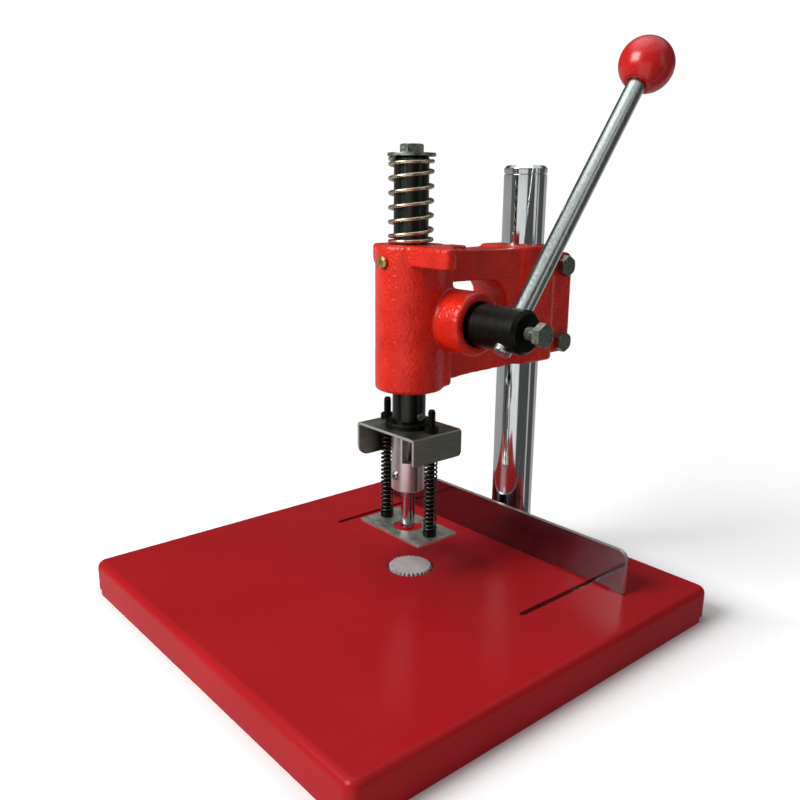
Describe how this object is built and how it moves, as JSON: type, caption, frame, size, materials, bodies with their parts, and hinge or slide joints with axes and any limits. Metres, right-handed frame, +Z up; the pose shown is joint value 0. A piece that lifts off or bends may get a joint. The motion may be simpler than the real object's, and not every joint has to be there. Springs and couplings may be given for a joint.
{
  "type": "hand lever paper punch press",
  "caption": "Desk press that punches a round hole through a paper stack: a hand lever drives a rack ram down a column stand over a flat base with a paper fence.",
  "frame": {"origin": "centre of the base's footprint, in the plane the base stands on", "axes": "+Z up, +X towards the user's right, where the lever is, +Y towards the back, where the column is"},
  "size_m": [0.3, 0.3178, 0.3756],
  "materials": {
    "pan_paint": "gloss red enamel",
    "casting_paint": "hammered red enamel",
    "ground_steel": "ground bright",
    "zinc_plate": "dull zinc",
    "yellow_zinc": "yellow passivated zinc",
    "plain_steel": "mill finish",
    "holder_steel": "turned and polished",
    "punch_steel": "polished, hardened",
    "blued_steel": "black oxide",
    "lever_chrome": "bright chrome",
    "spring_zinc": "zinc plated wire",
    "spring_black": "black oiled wire",
    "knob_plastic": "moulded, glossy",
    "pad_plastic": "natural nylon",
    "fence_acrylic": "clear, polished",
    "seat_steel": "turned"
  },
  "bodies": {
    "stand": {"base_pan": "pan_paint", "backing_plate": "plain_steel", "column": "ground_steel", "column_washer": "zinc_plate", "column_nut": "zinc_plate", "anvil_seat": "seat_steel"},
    "pad": {"cutting_pad": "pad_plastic"},
    "fence": {"fence_plate": "fence_acrylic", "fence_clamps": "plain_steel", "fence_screws": "zinc_plate"},
    "head": {"head_casting": "casting_paint", "guide_screw": "yellow_zinc", "clamp_bolts": "zinc_plate", "clamp_washers": "zinc_plate", "clamp_nuts": "zinc_plate", "return_spring": "spring_zinc"},
    "ram": {"ram_rack": "blued_steel", "ram_flange": "plain_steel", "ram_lock_screw": "zinc_plate", "top_washer": "zinc_plate", "top_bolt": "zinc_plate", "channel_bracket": "plain_steel", "punch_holder": "holder_steel", "holder_set_screw": "blued_steel", "punch_tube": "punch_steel", "punch_collar": "punch_steel", "pressure_spring_left": "spring_black", "pressure_spring_right": "spring_black"},
    "stripper": {"stripper_plate": "plain_steel", "guide_rods": "ground_steel", "rod_stop_nuts": "zinc_plate", "rod_foot_nuts": "zinc_plate"},
    "lever": {"pinion_shaft": "blued_steel", "shaft_washer": "zinc_plate", "shaft_screw": "zinc_plate", "lever_rod": "lever_chrome", "lever_knob": "knob_plastic", "lever_bolt": "zinc_plate"}
  },
  "joints": [
    {"name": "head_height", "type": "slide", "parent": "stand", "child": "head", "axis": [0, 0, 1], "range_m": [0, 0.045]},
    {"name": "lever_swing", "type": "hinge", "parent": "head", "child": "lever", "pos_m": [0, 0.0326, 0.1979], "axis": [1, 0, 0], "range_deg": [0, 133.69]},
    {"name": "ram_slide", "type": "slide", "parent": "head", "child": "ram", "axis": [0, 0, -1], "range_m": [0, 0.028], "stiffness_N_per_m": 3900, "springref_m": -0.01, "deforming": ["return_spring"]},
    {"name": "stripper_slide", "type": "slide", "parent": "ram", "child": "stripper", "axis": [0, 0, 1], "range_m": [0, 0.01], "stiffness_N_per_m": 2900, "springref_m": -0.009, "deforming": ["pressure_spring_left", "pressure_spring_right"]},
    {"name": "fence_slide", "type": "slide", "parent": "stand", "child": "fence", "axis": [0, 1, 0], "range_m": [-0.058, 0.006]},
    {"name": "pad_turn", "type": "hinge", "parent": "stand", "child": "pad", "pos_m": [0, 0.0153, 0.0203], "axis": [0, 0, 1], "continuous": true}
  ],
  "couplings": [
    {"joint": "ram_slide", "follows": "lever_swing", "m_per_rad": 0.012}
  ]
}
